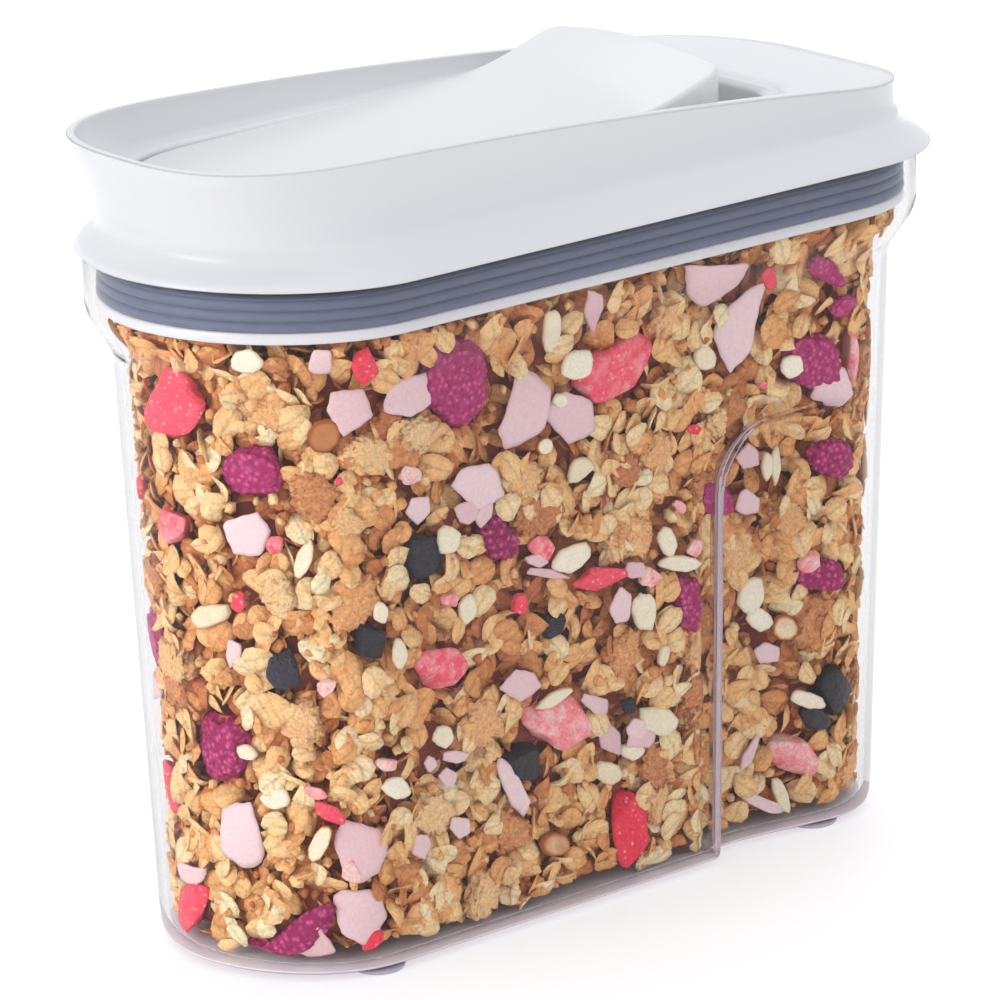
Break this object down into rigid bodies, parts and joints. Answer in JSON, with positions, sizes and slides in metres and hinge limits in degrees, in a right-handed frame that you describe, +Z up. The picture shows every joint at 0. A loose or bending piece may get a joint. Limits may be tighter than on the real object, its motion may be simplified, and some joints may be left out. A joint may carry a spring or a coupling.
{
  "type": "cereal container with flip spout",
  "caption": "Tall narrow dry-food keeper: clear body with pressed-in hand grips, lift-off white lid with soft gasket, flared pour spout and hinged wedge-shaped flip cap.",
  "frame": {"origin": "middle of the whole footprint, on the surface it stands on", "axes": "+X from the spout to the back along the long side, +Z up, +Y to the far side"},
  "size_m": [0.2426, 0.11, 0.2159],
  "materials": {
    "clear_body": "clear, glossy, moulded",
    "white_shell": "glossy white with a cool cast",
    "white_plug": "satin white, moulded",
    "white_cap": "glossy white",
    "slate_gasket": "soft matte slate blue, ribbed",
    "grey_seal": "soft matte grey",
    "pin_steel": "drawn wire"
  },
  "bodies": {
    "container": {"container_body": "clear_body"},
    "lid": {"lid_shell": "white_shell", "lid_plug": "white_plug", "lid_gasket": "slate_gasket", "hinge_pin_near": "pin_steel", "hinge_pin_far": "pin_steel"},
    "cap": {"cap_top": "white_cap", "cap_base": "white_plug", "cap_seal": "grey_seal"}
  },
  "joints": [
    {"name": "lid_lift", "type": "slide", "parent": "container", "child": "lid", "axis": [0, 0, 1], "range_m": [0, 0.06]},
    {"name": "cap_flip", "type": "hinge", "parent": "lid", "child": "cap", "pos_m": [0.04405, 0, 0.1985], "axis": [0, 1, 0], "range_deg": [0, 95]}
  ]
}
